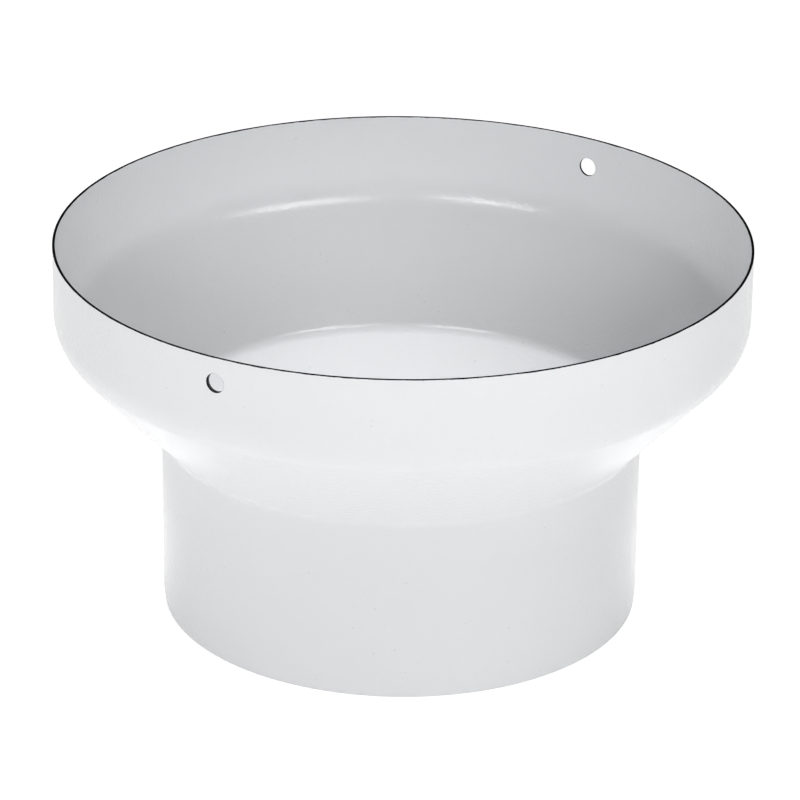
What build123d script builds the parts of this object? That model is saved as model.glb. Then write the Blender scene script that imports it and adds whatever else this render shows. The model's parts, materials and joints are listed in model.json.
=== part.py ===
from build123d import *
import os

# Driving dimensions of the duct reducer, in millimetres.
# The narrow collar stands on the ground plane and the duct's axis is Z.
wide_diameter = 180.0  # outside of the wide collar
narrow_diameter = 125.0  # outside of the narrow collar
sheet_thickness = 0.7  # painted steel sheet
narrow_collar_height = 48.5  # from the foot to where the collar's line meets the cone's
cone_height = 29.0  # between the two points where the straight lines meet
wide_collar_height = 22.5  # from where the cone's line meets the collar's to the rim
shoulder_radius = 12.0  # bend between cone and wide collar, on its outer face
neck_radius = 4.0  # bend between narrow collar and cone, on its outer face
screw_hole_diameter = 5.0
screw_hole_drop = 7.5  # from the rim down to the line through both holes, where it passes the axis
drill_line_offset = 3.1  # that line runs along Y and misses the axis by this much
drill_line_tilt = 0.5  # degrees by which it falls towards +Y

# Sizes that follow from them
wide_radius = wide_diameter / 2
narrow_radius = narrow_diameter / 2
cone_top = narrow_collar_height + cone_height
rim_height = cone_top + wide_collar_height
screw_hole_height = rim_height - screw_hole_drop

# One sheet, drawn to a stepped tube and trimmed square at the rim and at the foot
with BuildPart() as reducer:
    with BuildSketch(Plane.XZ) as wall_section:
        with BuildLine():
            outer_face = FilletPolyline(
                (narrow_radius, 0),
                (narrow_radius, narrow_collar_height),
                (wide_radius, cone_top),
                (wide_radius, rim_height),
                radius=[neck_radius, shoulder_radius],
            )
            offset(outer_face, amount=sheet_thickness, side=Side.LEFT)
        make_face()
    revolve(axis=Axis.Z)

    # Two screw holes, drilled through both sides of the wide collar in one pass
    with Locations(Location((drill_line_offset, 0, screw_hole_height), (90 - drill_line_tilt, 0, 0))):
        Hole(radius=screw_hole_diameter / 2)

reducer.part.label = "reducer"

os.makedirs("parts", exist_ok=True)
export_step(reducer.part, "parts/reducer.step")

box = reducer.part.bounding_box()
print("reducer", box.size, "volume", round(reducer.part.volume, 1), "mm3")
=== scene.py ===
# %% [markdown]
# # A duct reducer in white painted steel
#
# The part joins a wide round duct to a narrow one. It is a single sheet of painted steel, drawn to a
# stepped tube: a tall narrow collar, a cone and a short wide collar with two screw holes. This lesson
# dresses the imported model: the model says where everything is and how large, and Blender adds the
# smooth skin, the cut edges, the paint and the light of a small studio.

import json
from math import asin, atan2, cos, degrees, pi, radians, sin, sqrt, tan

import bmesh
import bpy
from mathutils import Matrix, Vector


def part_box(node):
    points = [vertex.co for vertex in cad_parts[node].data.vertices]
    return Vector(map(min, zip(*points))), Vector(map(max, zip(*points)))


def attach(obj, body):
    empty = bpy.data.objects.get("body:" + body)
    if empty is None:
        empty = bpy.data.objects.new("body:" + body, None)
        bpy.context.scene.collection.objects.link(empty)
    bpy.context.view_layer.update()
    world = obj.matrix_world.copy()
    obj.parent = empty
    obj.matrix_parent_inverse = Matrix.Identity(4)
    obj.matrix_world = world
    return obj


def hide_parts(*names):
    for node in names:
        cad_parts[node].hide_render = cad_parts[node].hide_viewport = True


MM = 0.001


def in_mm(box):
    """The two corners of a box in millimetres, for printing."""
    return [tuple(round(c / MM, 2) for c in corner) for corner in box]


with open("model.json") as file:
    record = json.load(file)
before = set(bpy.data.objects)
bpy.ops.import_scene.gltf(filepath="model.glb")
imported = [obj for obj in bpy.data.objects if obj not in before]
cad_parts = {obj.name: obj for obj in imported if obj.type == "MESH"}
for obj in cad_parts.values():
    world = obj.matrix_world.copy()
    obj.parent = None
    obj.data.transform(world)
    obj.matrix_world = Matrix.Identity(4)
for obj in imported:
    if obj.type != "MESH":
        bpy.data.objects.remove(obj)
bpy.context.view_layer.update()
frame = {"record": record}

# %% [markdown]
# ## Sizes
#
# Blender works in metres here, in the same frame as the model. The collars and the holes are mounts in
# the model's record, so their sizes are read from there. The two bends are no mounts, so their sizes
# are written down: the heights where the straight lines of the wall would meet, and the radii.

# %% Read the sizes
mounts = {mount["name"]: mount for mount in frame["record"]["mounts"]}
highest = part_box("reducer")[1]
rim_height = highest.z
wide_radius = highest.x
narrow_radius = mounts["narrow_collar"]["dims"]["r_mm"] * MM
sheet = wide_radius - mounts["wide_collar"]["dims"]["r_mm"] * MM
holes = [mounts[name] for name in mounts if name.startswith("screw_hole")]
hole_radius = holes[0]["dims"]["r_mm"] * MM
hole_height = sum(hole["pos_m"][2] for hole in holes) / len(holes)

NECK_CORNER_HEIGHT = 48.5 * MM
SHOULDER_CORNER_HEIGHT = 77.5 * MM
NECK_BEND_RADIUS = 4.0 * MM
SHOULDER_BEND_RADIUS = 12.0 * MM
cone_lean = atan2(wide_radius - narrow_radius, SHOULDER_CORNER_HEIGHT - NECK_CORNER_HEIGHT)
print(f"sheet {sheet / MM:.2f} mm, cone leans {degrees(cone_lean):.1f} degrees from upright")

# %% [markdown]
# ## The wall's section
#
# A drawn tube is the same all the way round, so one line, the outer face of its wall, says it all. The
# line is walked from the foot to the rim. A straight stretch is a vertex extruded along; a bend is the
# same vertex spun about the bend's centre, which gives a true arc. Typing in a list of points would
# draw the same line, but then nobody could see which point belongs to which bend.

# %% Go straight on or round a bend
BEND_STEPS = 14


def go_straight(mesh, tip, height, radius, steps=1):
    """Extrudes the tip in equal steps to a new radius and height, in the XZ plane."""
    start, end = tip.co.copy(), Vector((radius, 0, height))
    for step in range(steps):
        tip = bmesh.ops.extrude_vert_indiv(mesh, verts=[tip])["verts"][0]
        tip.co = start.lerp(end, (step + 1) / steps)
    return tip


def go_round(mesh, tip, centre, angle):
    """Spins the tip about an axis along Y through the bend's centre."""
    made = bmesh.ops.spin(mesh, geom=[tip], cent=centre, axis=(0, 1, 0), angle=angle,
                          steps=BEND_STEPS, use_merge=False)
    return next(item for item in made["geom_last"] if isinstance(item, bmesh.types.BMVert))


# %% [markdown]
# ## Where the bends begin
#
# A bend touches the two straight lines at the same distance from the corner where they would meet. That
# distance follows from the radius and from how far the cone leans. The foot has a bend of its own: it
# is curled in by a third of a millimetre, so that the collar slips into a duct.

# %% Find the ends of the bends
neck_tangent = NECK_BEND_RADIUS * tan(cone_lean / 2)
shoulder_tangent = SHOULDER_BEND_RADIUS * tan(cone_lean / 2)
neck_end = NECK_CORNER_HEIGHT - neck_tangent
cone_top_radius = wide_radius - shoulder_tangent * sin(cone_lean)
cone_top_height = SHOULDER_CORNER_HEIGHT - shoulder_tangent * cos(cone_lean)
collar_start = SHOULDER_CORNER_HEIGHT + shoulder_tangent

FOOT_CURL_HEIGHT = 4.5 * MM
FOOT_CURL_IN = 0.35 * MM
curl_radius = FOOT_CURL_HEIGHT ** 2 / (2 * FOOT_CURL_IN)
curl_angle = asin(FOOT_CURL_HEIGHT / curl_radius)
foot_radius = narrow_radius - curl_radius * (1 - cos(curl_angle))
print(f"neck straight to {neck_end / MM:.1f} mm, cone to {cone_top_height / MM:.1f} mm,",
      f"collar from {collar_start / MM:.1f} mm")

# %% [markdown]
# ## From the foot to the rim
#
# Now the tip of the line sets out. The long stretches get a few points on the way, so that the faces
# stay near to square. Beside the screw holes the points lie closer: the holes are cut into the grid
# there later on.

# %% Walk along the section
NECK_STEPS = 8
CONE_STEPS = 6
COLLAR_STEPS = 3
HOLE_PATCH_CELLS = 8
HOLE_PATCH_HALF = 6.0 * MM

skin = bmesh.new()
tip = skin.verts.new((foot_radius, 0, 0))
tip = go_round(skin, tip, (narrow_radius - curl_radius, 0, FOOT_CURL_HEIGHT), -curl_angle)
tip = go_straight(skin, tip, neck_end, narrow_radius, NECK_STEPS)
tip = go_round(skin, tip, (narrow_radius + NECK_BEND_RADIUS, 0, neck_end), cone_lean)
tip = go_straight(skin, tip, cone_top_height, cone_top_radius, CONE_STEPS)
tip = go_round(skin, tip, (wide_radius - SHOULDER_BEND_RADIUS, 0, collar_start), -cone_lean)
tip = go_straight(skin, tip, hole_height - HOLE_PATCH_HALF, wide_radius, COLLAR_STEPS)
tip = go_straight(skin, tip, hole_height + HOLE_PATCH_HALF, wide_radius, HOLE_PATCH_CELLS)
tip = go_straight(skin, tip, rim_height, wide_radius)
print("section", len(skin.verts), "points, up to", in_mm([tip.co])[0])

# %% [markdown]
# ## Round the axis
#
# A full spin about Z turns the line into the skin. A Screw modifier could do it too, but the holes have
# to be cut into these faces, so the faces have to be there. The first and last copies are merged, and
# the skin has no seam.

# %% Spin the section
ROUND_STEPS = 384

bmesh.ops.spin(skin, geom=skin.verts[:] + skin.edges[:], cent=(0, 0, 0), axis=(0, 0, 1),
               angle=2 * pi, steps=ROUND_STEPS, use_merge=True)
print("skin", len(skin.verts), "vertices,", len(skin.faces), "faces")

# %% [markdown]
# ## Screw holes
#
# Both holes were drilled through the collar in one pass. A boolean cut would leave long thin triangles
# that spoil the shading, so a square patch of the grid is taken out instead and a circle is laid on the
# collar in its place. Bridging the two loops gives an even ring of four-sided faces around the hole.

# %% Lay a circle on the collar
def on_collar(point, radius):
    """The point moved along Y until it lies on a cylinder of that radius round the part's axis."""
    side = 1 if point.y > 0 else -1
    return Vector((point.x, side * sqrt(radius ** 2 - point.x ** 2), point.z))


def ring_on_collar(mesh, centre, ring_radius, collar_radius, segments):
    """A circle round an axis along Y, pressed on to the collar; gives its edges."""
    stand = Matrix.Translation(centre) @ Matrix.Rotation(pi / 2, 4, "X")
    ring = bmesh.ops.create_circle(mesh, cap_ends=False, radius=ring_radius, segments=segments,
                                   matrix=stand)["verts"]
    for vert in ring:
        vert.co = on_collar(vert.co, collar_radius)
    return list({edge for vert in ring for edge in vert.link_edges})


# %% Drill the screw holes
PATCH_HALF_ANGLE = 2 * pi / ROUND_STEPS * HOLE_PATCH_CELLS / 2
CUTS_BESIDE_HOLE = 2


def drill(mesh, centre):
    """Replaces a square of the grid around the centre by a ring of faces with a round hole."""
    side = 1 if centre.y > 0 else -1
    middle = atan2(centre.x, centre.y * side)

    def in_patch(face):
        at = face.calc_center_median()
        off_middle = atan2(at.x, at.y * side) - middle
        return abs(off_middle) < PATCH_HALF_ANGLE and abs(at.z - hole_height) < HOLE_PATCH_HALF

    patch = [face for face in mesh.faces if in_patch(face)]
    border = [edge for edge in {e for f in patch for e in f.edges}
              if sum(f in patch for f in edge.link_faces) == 1]
    bmesh.ops.delete(mesh, geom=patch, context="FACES")
    ring = ring_on_collar(mesh, centre, hole_radius, wide_radius, segments=4 * HOLE_PATCH_CELLS)
    bridge = bmesh.ops.bridge_loops(mesh, edges=border + ring)["edges"]
    cut = bmesh.ops.subdivide_edges(mesh, edges=bridge, cuts=CUTS_BESIDE_HOLE, use_grid_fill=True)
    for item in cut["geom_inner"]:
        if isinstance(item, bmesh.types.BMVert):
            item.co = on_collar(item.co, wide_radius)
    return len(border), len(ring)


for hole in holes:
    print(hole["name"], "border and ring edges", drill(skin, Vector(hole["pos_m"])))

# %% [markdown]
# ## Outside out
#
# The wall gets its thickness inwards, so every face has to point away from the axis first. The normals
# are made to agree, and one face of the collar tells whether all of them have to be turned round.

# %% Point the faces outwards
MERGE_WITHIN = 0.001 * MM

bmesh.ops.remove_doubles(skin, verts=skin.verts, dist=MERGE_WITHIN)
bmesh.ops.recalc_face_normals(skin, faces=skin.faces)
skin.normal_update()
outermost = max(skin.faces, key=lambda face: face.calc_center_median().x)
if outermost.normal.x < 0:
    bmesh.ops.reverse_faces(skin, faces=skin.faces)
for face in skin.faces:
    face.smooth = True
print("open edges", sum(edge.is_boundary for edge in skin.edges),
      "loose edges", sum(edge.is_wire for edge in skin.edges))

# %% [markdown]
# ## Nodes
#
# A material is a tree of nodes. Writing one takes the same three moves again and again: add a node, set
# its values, link it to the node before. A small helper does all three, and the lines below then read
# almost like the tree in the shader editor.

# %% Wire up nodes
# the colour sockets of a Mix node go by number, because its sockets share their names
MIX_FIRST, MIX_SECOND, MIX_RESULT = 6, 7, 2


def add_node(tree, kind, inputs=None, **settings):
    """A new node; each input is a value, or the socket of another node to link it to."""
    node = tree.nodes.new(kind)
    for name, value in settings.items():
        setattr(node, name, value)
    for name, value in (inputs or {}).items():
        if isinstance(value, bpy.types.NodeSocket):
            tree.links.new(value, node.inputs[name])
        else:
            node.inputs[name].default_value = value
    return node


def mix_colours(tree, share, first, second):
    """A colour between the first and the second, by a share from 0 to 1."""
    inputs = {"Factor": share, MIX_FIRST: first, MIX_SECOND: second}
    return add_node(tree, "ShaderNodeMix", inputs, data_type="RGBA").outputs[MIX_RESULT]


def calculate(tree, operation, first, second):
    """The result of one Math node."""
    return add_node(tree, "ShaderNodeMath", {0: first, 1: second}, operation=operation).outputs[0]


def new_material(name):
    """A material with its node tree, its shader and the socket that tells the place on the part."""
    material = bpy.data.materials.new(name)
    material.use_nodes = True
    tree = material.node_tree
    place = tree.nodes.new("ShaderNodeTexCoord").outputs["Object"]
    return material, tree, tree.nodes["Principled BSDF"], place


# %% [markdown]
# ## Dust on the paint
#
# A few grains of dust stick to the white. Painting them by hand would take an image; a Voronoi texture
# strews them instead. Every cell has one random colour: its red says how large the grain in this cell
# is, and its green how dark. All patterns read Object coordinates, in metres, so a scale of 430 means
# about one cell in every two millimetres.

# %% Strew the dust
SPECK_GREY = (0.62, 0.62, 0.62, 1)
SPECKS_PER_METRE = 430
CLEAN_CELLS = 0.25
LARGEST_SPECK = 0.085


def dusty(tree, place, white):
    """The white with grains of dust on it."""
    grains = add_node(tree, "ShaderNodeTexVoronoi",
                      {"Vector": place, "Scale": SPECKS_PER_METRE, "Randomness": 1.0}).outputs
    draw = add_node(tree, "ShaderNodeSeparateColor", {"Color": grains["Color"]}).outputs
    size = add_node(tree, "ShaderNodeMapRange",
                    {"Value": draw["Red"], "From Min": CLEAN_CELLS, "From Max": 1.0,
                     "To Min": 0.0, "To Max": LARGEST_SPECK})
    inside = calculate(tree, "LESS_THAN", grains["Distance"], size.outputs["Result"])
    darkness = calculate(tree, "MULTIPLY", inside, draw["Green"])
    return mix_colours(tree, darkness, white, SPECK_GREY)


# %% [markdown]
# ## Chips at the rim
#
# Where the sheet was cut, the film broke away here and there, up to a fifth of a millimetre deep. On
# the finished part this makes the rim's dark line a little uneven. A noise says how deep the chip is at
# each place, and what lies less than that below the rim is bare.

# %% Chip the rim
CHIP_DARK = (0.015, 0.015, 0.017, 1)
CHIPS_PER_METRE = 230
CHIP_DEPTH = 0.22 * MM
CHIP_FROM, CHIP_DEEPEST_AT = 0.3, 0.75


def chipped(tree, place, white):
    """The white with bare places right below the rim."""
    noise = add_node(tree, "ShaderNodeTexNoise",
                     {"Vector": place, "Scale": CHIPS_PER_METRE, "Detail": 4, "Roughness": 0.6})
    depth = add_node(tree, "ShaderNodeMapRange",
                     {"Value": noise.outputs["Fac"], "From Min": CHIP_FROM, "From Max": CHIP_DEEPEST_AT,
                      "To Min": 0.0, "To Max": CHIP_DEPTH})
    height = add_node(tree, "ShaderNodeSeparateXYZ", {"Vector": place}).outputs["Z"]
    below_rim = calculate(tree, "SUBTRACT", rim_height, height)
    bare = calculate(tree, "LESS_THAN", below_rim, depth.outputs["Result"])
    return mix_colours(tree, bare, white, CHIP_DARK)


# %% [markdown]
# ## The paint
#
# Sheet like this is painted before it is drawn: a thin white film, between satin and gloss, with the
# fine ripple that painters call orange peel. It is not one colour: the film is a shade cooler here and
# warmer there, and where it is warmer it is a touch duller. The ripple is only a few hundredths of a
# millimetre high, too fine for the mesh, so a bump makes it.

# %% Mix the white paint
PAINT_COOL = (0.866, 0.877, 0.894, 1)
PAINT_WARM = (0.882, 0.888, 0.898, 1)
PAINT_IOR = 1.55
CLOUDS_PER_METRE = 28
GLOSSY_ROUGHNESS, DULL_ROUGHNESS = 0.18, 0.24
PEEL_PER_METRE = 1000
PEEL_HEIGHT = 0.09 * MM


def white_paint():
    """White film with clouds, dust, chips at the rim and a fine ripple."""
    material, tree, shader, place = new_material("white_paint")
    shader.inputs["IOR"].default_value = PAINT_IOR

    cloud = add_node(tree, "ShaderNodeTexNoise",
                     {"Vector": place, "Scale": CLOUDS_PER_METRE, "Detail": 3, "Roughness": 0.55})
    white = mix_colours(tree, cloud.outputs["Fac"], PAINT_COOL, PAINT_WARM)
    colour = chipped(tree, place, dusty(tree, place, white))
    tree.links.new(colour, shader.inputs["Base Color"])

    gloss = add_node(tree, "ShaderNodeMapRange",
                     {"Value": cloud.outputs["Fac"],
                      "To Min": GLOSSY_ROUGHNESS, "To Max": DULL_ROUGHNESS})
    tree.links.new(gloss.outputs["Result"], shader.inputs["Roughness"])

    peel = add_node(tree, "ShaderNodeTexNoise",
                    {"Vector": place, "Scale": PEEL_PER_METRE, "Detail": 2, "Roughness": 0.5})
    ripple = add_node(tree, "ShaderNodeBump",
                      {"Height": peel.outputs["Fac"], "Strength": 1.0, "Distance": PEEL_HEIGHT})
    tree.links.new(ripple.outputs["Normal"], shader.inputs["Normal"])
    return material


# %% [markdown]
# ## The cut edge
#
# At the rim, the foot and the holes the sheet was cut after it had been painted, so bare steel shows
# there as a thin dark line. It is dull and uneven, as sheared steel is: a noise goes between a dark and
# a lighter tone. A mirror-like metal would catch the lamps, and the line would break up.

# %% Darken the cut steel
CUT_DARK = (0.003, 0.003, 0.004, 1)
CUT_LIGHT = (0.012, 0.012, 0.013, 1)
CUT_SHINE = 0.08
CUT_GRAIN_PER_METRE = 420
CUT_SMOOTHEST, CUT_ROUGHEST = 0.55, 0.75


def cut_steel(name, dark, light):
    """Bare steel between two tones, hardly shining."""
    material, tree, shader, place = new_material(name)
    shader.inputs["Specular IOR Level"].default_value = CUT_SHINE
    grain = add_node(tree, "ShaderNodeTexNoise",
                     {"Vector": place, "Scale": CUT_GRAIN_PER_METRE, "Detail": 4, "Roughness": 0.6})
    tone = mix_colours(tree, grain.outputs["Fac"], dark, light)
    tree.links.new(tone, shader.inputs["Base Color"])
    dull = add_node(tree, "ShaderNodeMapRange",
                    {"Value": grain.outputs["Fac"],
                     "To Min": CUT_SMOOTHEST, "To Max": CUT_ROUGHEST})
    tree.links.new(dull.outputs["Result"], shader.inputs["Roughness"])
    return material


# %% [markdown]
# ## The finished piece
#
# The skin becomes a mesh with two materials. Solidify gives the wall its thickness and puts the second
# material on the new edge faces; Bevel then breaks the sharp corners of the cut a little. Both could be
# modelled by hand, but as modifiers they take the sheet's thickness straight from the record.

# %% Make the piece
def new_piece(name, shape, materials):
    """A bmesh made an object in the scene, at the origin; the bmesh is used up."""
    mesh = bpy.data.meshes.new(name)
    shape.to_mesh(mesh)
    shape.free()
    for material in materials:
        mesh.materials.append(material)
    piece = bpy.data.objects.new(name, mesh)
    bpy.context.scene.collection.objects.link(piece)
    return piece


PAINT_SLOT, STEEL_SLOT = 0, 1
reducer = new_piece("painted_reducer", skin,
                    [white_paint(), cut_steel("cut_steel", CUT_DARK, CUT_LIGHT)])
print("painted_reducer", len(reducer.data.polygons), "faces in", reducer.material_slots.keys())

# %% Give it a wall
EDGE_BREAK = 0.06 * MM
SHARP_CORNER = radians(50)

wall = reducer.modifiers.new("wall", "SOLIDIFY")
wall.thickness = sheet
wall.offset = -1
wall.use_even_offset = True
wall.material_offset_rim = STEEL_SLOT - PAINT_SLOT

edge_break = reducer.modifiers.new("edge_break", "BEVEL")
edge_break.width = EDGE_BREAK
edge_break.segments = 2
edge_break.profile = 0.5
edge_break.limit_method = "ANGLE"
edge_break.angle_limit = SHARP_CORNER
edge_break.harden_normals = True
edge_break.material = STEEL_SLOT

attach(reducer, "root")
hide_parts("reducer")
finished = reducer.evaluated_get(bpy.context.evaluated_depsgraph_get())
print("finished piece", len(finished.data.polygons), "faces")

# %% [markdown]
# ## The burr
#
# The drill came in through the near wall and pushed a thin edge of steel out on its inner side. It
# makes the hole's dark wall look deeper than the sheet is thick, and being torn, it is brighter in
# places than a clean cut.
# Three circles laid on the collar and bridged to each other give a closed ring with a triangular
# section, whose root lies in the sheet.

# %% Raise the burr
BURR_DARK = (0.004, 0.004, 0.005, 1)
BURR_LIGHT = (0.22, 0.22, 0.23, 1)
BURR_HEIGHT = 0.45 * MM
BURR_WIDTH = 0.3 * MM
BURR_SEGMENTS = 48
burr_centre = Vector(mounts["screw_hole_minus_y"]["pos_m"])
burr_shape = bmesh.new()


def burr_loop(ring_radius, depth):
    """A circle round the hole, that deep inside the collar; a negative depth lies in the sheet."""
    collar_radius = wide_radius - sheet - depth
    return ring_on_collar(burr_shape, burr_centre, ring_radius, collar_radius, BURR_SEGMENTS)


hole_side = burr_loop(hole_radius, -0.5 * sheet)
burr_tip = burr_loop(hole_radius, BURR_HEIGHT)
wall_side = burr_loop(hole_radius + BURR_WIDTH, -0.1 * sheet)
for first, second in ((hole_side, burr_tip), (burr_tip, wall_side), (wall_side, hole_side)):
    bmesh.ops.bridge_loops(burr_shape, edges=first + second)
bmesh.ops.recalc_face_normals(burr_shape, faces=burr_shape.faces)
print("burr", sum(edge.is_boundary for edge in burr_shape.edges), "open edges,",
      f"{burr_shape.calc_volume(signed=True) / MM ** 3:.2f} cubic millimetres")

burr = new_piece("burr", burr_shape, [cut_steel("burr_steel", BURR_DARK, BURR_LIGHT)])
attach(burr, "root")

# %% [markdown]
# ## Camera
#
# The photograph looks down on the part from a little above, through a long lens that hardly makes the
# near rim larger than the far one. The camera stands on a circle round the axis and looks at a point
# half-way up the part. It is rolled by half a degree, as the photograph is.

# %% Set up the camera
VIEW_AZIMUTH = radians(32.1)
VIEW_ELEVATION = radians(24.05)
VIEW_DISTANCE = 1.1805
VIEW_ROLL = radians(0.62)
LENS_MM = 203.6
SENSOR_MM = 36
SIGHT_END = 20
AIM_HEIGHT = 54.63 * MM
AIM_RIGHT = -0.40 * MM


def around(azimuth, elevation, distance, height=0.0):
    """The point at that azimuth and elevation from the part, counted as the camera's is."""
    direction = Vector((sin(azimuth) * cos(elevation), -cos(azimuth) * cos(elevation), sin(elevation)))
    return direction * distance + Vector((0, 0, height))


right = Vector((cos(VIEW_AZIMUTH), sin(VIEW_AZIMUTH), 0))
aim = right * AIM_RIGHT + Vector((0, 0, AIM_HEIGHT))
camera = bpy.data.objects.new("camera", bpy.data.cameras.new("camera"))
bpy.context.scene.collection.objects.link(camera)
camera.data.lens = LENS_MM
camera.data.sensor_width = SENSOR_MM
camera.data.clip_end = SIGHT_END
back = around(VIEW_AZIMUTH, VIEW_ELEVATION, 1)
camera.location = aim + back * VIEW_DISTANCE
turn = (-back).to_track_quat("-Z", "Y").to_matrix() @ Matrix.Rotation(VIEW_ROLL, 3, "Z")
camera.rotation_euler = turn.to_euler()
bpy.context.scene.camera = camera
print("camera at", tuple(round(c, 3) for c in camera.location))

# %% [markdown]
# ## The table's glow
#
# The part stands on a white table that glows, as a table for product photographs does. It glows most
# under the part, where it lights the inside of the neck from below. Near the foot the glow is dimmer
# in front than behind: there the part's shadow is painted into the glow, as if the wide collar kept
# the light off the table in front while the light behind the part reached in under the collar. So
# each half of the table has its own glow, in rings round the axis, painted shadow and all. Many small
# lamps could do the same; a colour ramp over the distance is one node.

# %% Draw the rings of light
# distance from the axis in metres, and the glow there; the dim rings near the foot are painted shadow
SHADED_GLOW_FRONT = [(0.0, 1.25), (0.058, 1.25), (0.061, 0.46), (0.075, 0.52), (0.13, 0.57), (0.17, 0.68),
                 (0.22, 0.85), (0.3, 0.92), (0.5, 0.90)]
SHADED_GLOW_BEHIND = [(0.0, 1.12), (0.058, 1.12), (0.061, 0.95), (0.09, 0.88), (0.12, 0.66), (0.17, 0.62),
               (0.22, 0.72), (0.3, 0.70), (0.5, 0.85)]
HALVES_BLEND = 0.02


def glow_rings(tree, distance, levels):
    """A colour ramp over the distance from the axis; gives the glow's colour."""
    reach = levels[-1][0]
    share = add_node(tree, "ShaderNodeMapRange", {"Value": distance, "From Max": reach})
    rings = add_node(tree, "ShaderNodeValToRGB", {"Fac": share.outputs["Result"]})
    stops = rings.color_ramp.elements
    while len(stops) < len(levels):
        stops.new(1.0)
    for stop, (radius, level) in zip(stops, levels):
        stop.position = radius / reach
        stop.color = (level, level, level, 1)
    return rings.outputs["Color"]


def table_glow(tree):
    """The glow of both halves, with a narrow blend between them beside the part."""
    place = tree.nodes.new("ShaderNodeTexCoord").outputs["Object"]
    distance = add_node(tree, "ShaderNodeVectorMath", {0: place}, operation="LENGTH").outputs["Value"]
    ahead = add_node(tree, "ShaderNodeVectorMath", {0: place, 1: around(VIEW_AZIMUTH, 0, 1)},
                     operation="DOT_PRODUCT")
    in_front = add_node(tree, "ShaderNodeMapRange",
                        {"Value": ahead.outputs["Value"],
                         "From Min": -HALVES_BLEND, "From Max": HALVES_BLEND})
    return mix_colours(tree, in_front.outputs["Result"], glow_rings(tree, distance, SHADED_GLOW_BEHIND),
                       glow_rings(tree, distance, SHADED_GLOW_FRONT))


# %% [markdown]
# ## Floor
#
# The camera sees a glow of its own, just enough to bring the table to pure white. The table's shading
# stays under it, so the part keeps its soft shadow round the foot. Light Path tells the camera's rays
# from the rest; making the table white by more light would burn out the part as well.

# %% Lay the floor
FLOOR_WHITE = (0.6, 0.6, 0.6, 1)
FLOOR_GLOW_SEEN = (0.74, 0.74, 0.74, 1)
FLOOR_HALF = 3.0


def white_table():
    """A matt white floor that glows, in one way for the camera and in another for the part."""
    material = bpy.data.materials.new("white_table")
    material.use_nodes = True
    tree = material.node_tree
    tree.nodes.clear()
    seen = tree.nodes.new("ShaderNodeLightPath").outputs["Is Camera Ray"]
    glow = add_node(tree, "ShaderNodeEmission",
                    {"Color": mix_colours(tree, seen, table_glow(tree), FLOOR_GLOW_SEEN)})
    paint = add_node(tree, "ShaderNodeBsdfDiffuse", {"Color": FLOOR_WHITE})
    both = add_node(tree, "ShaderNodeAddShader", {0: paint.outputs[0], 1: glow.outputs[0]})
    add_node(tree, "ShaderNodeOutputMaterial", {"Surface": both.outputs[0]})
    return material


floor_shape = bmesh.new()
bmesh.ops.create_grid(floor_shape, x_segments=1, y_segments=1, size=FLOOR_HALF)
floor = new_piece("floor", floor_shape, [white_table()])
print("floor", tuple(round(side, 2) for side in floor.dimensions), "metres")

# %% [markdown]
# ## Light
#
# A studio fills a white part with soft light from several sides, or it would look flat. The strongest
# lights are a panel under the camera for the front, one high up on the right for the inside, and one
# behind the part for the inside of the near wall and for the table. A weaker one on the right makes
# the left half of the inside the brighter one, and one far out on the left lifts the left edges. They
# light the part but don't show in the gloss: what shines in the paint comes in the next step.

# %% Build a lamp
def soft_box(name, azimuth, elevation, distance, width, height, watts):
    """A rectangular lamp that faces the part; the azimuth counts from the camera's."""
    lamp = bpy.data.lights.new(name, "AREA")
    lamp.shape = "RECTANGLE"
    lamp.size, lamp.size_y = width, height
    lamp.energy = watts
    box = bpy.data.objects.new(name, lamp)
    bpy.context.scene.collection.objects.link(box)
    box.location = around(VIEW_AZIMUTH + radians(azimuth), radians(elevation), distance, AIM_HEIGHT)
    box.rotation_euler = (Vector((0, 0, AIM_HEIGHT)) - box.location).to_track_quat("-Z", "Y").to_euler()
    box.visible_camera = False
    return box


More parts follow.
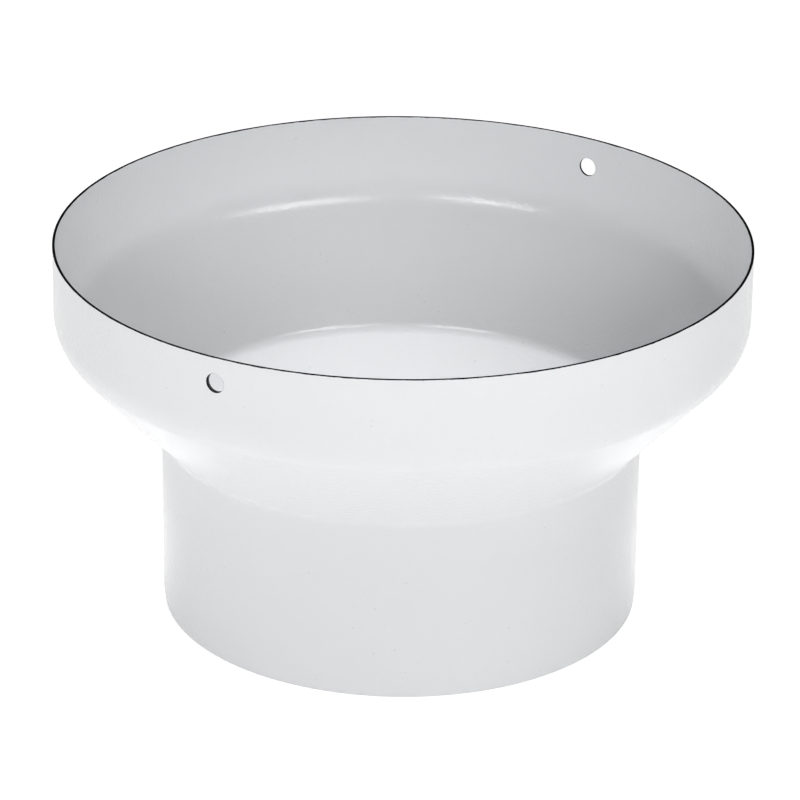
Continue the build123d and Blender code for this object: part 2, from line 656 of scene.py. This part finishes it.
# %% Fill the part with light
# name, azimuth from the camera in degrees, elevation, distance, width, height, watts
FILL_LIGHTS = [
    ("front_fill", 0, 19, 1.5, 1.0, 0.3, 5.1),
    ("right_fill", 38, 41, 1.3, 1.1, 0.36, 2.3),
    ("high_fill", 22, 65, 1.5, 1.2, 0.5, 4.75),
    ("back_fill", 180, 30, 1.5, 1.0, 0.3, 7.5),
    ("left_fill", -93, 6, 1.5, 0.9, 0.5, 4.0),
]

for settings in FILL_LIGHTS:
    fill = soft_box(*settings)
    fill.visible_glossy = False
    print("fill light", fill.name, round(fill.data.energy, 2), "W")

# %% [markdown]
# ## Gleam
#
# On the bends inside, the paint mirrors two bright soft boxes, one on each side of the camera: the box
# on the left gleams on the right and the other way round. The fill lights could show in the gloss too,
# but the right side lights the part more, and the two gleams are equally bright. So the gleams have
# lamps of their own, seen in the gloss and nowhere else. They are oval, because an oval box gives a
# streak that tapers to both ends.

# %% Add the gleam
GLEAM_BOXES = [
    ("left_gleam", -31, 38, 1.2, 0.70, 0.15, 3.3),
    ("right_gleam", 41, 42, 1.2, 0.95, 0.19, 3.6),
]

for settings in GLEAM_BOXES:
    gleam = soft_box(*settings)
    gleam.data.shape = "ELLIPSE"
    gleam.visible_diffuse = False
    print("gleam", gleam.name, round(gleam.data.energy, 2), "W")

# %% [markdown]
# ## Room
#
# Behind the table the camera sees plain white. The part itself sees a dim room, so that only the
# lamps and the table light it.

# %% Surround the table
ROOM_WHITE = (1, 1, 1, 1)
ROOM_STRENGTH = 0.02
ROOM_STRENGTH_SEEN = 1.0

world = bpy.data.worlds.new("white_room")
world.use_nodes = True
bpy.context.scene.world = world
tree = world.node_tree
tree.nodes.clear()
seen = tree.nodes.new("ShaderNodeLightPath").outputs["Is Camera Ray"]
strength = add_node(tree, "ShaderNodeMapRange",
                    {"Value": seen, "To Min": ROOM_STRENGTH, "To Max": ROOM_STRENGTH_SEEN})
room = add_node(tree, "ShaderNodeBackground",
                {"Color": ROOM_WHITE, "Strength": strength.outputs["Result"]})
add_node(tree, "ShaderNodeOutputWorld", {"Surface": room.outputs[0]})
print("room", len(tree.nodes), "nodes")

# %% [markdown]
# ## Finish
#
# The Standard view shows colours as they are written; other views would bend the whites.

# %% Finish
bpy.context.scene.view_settings.view_transform = "Standard"
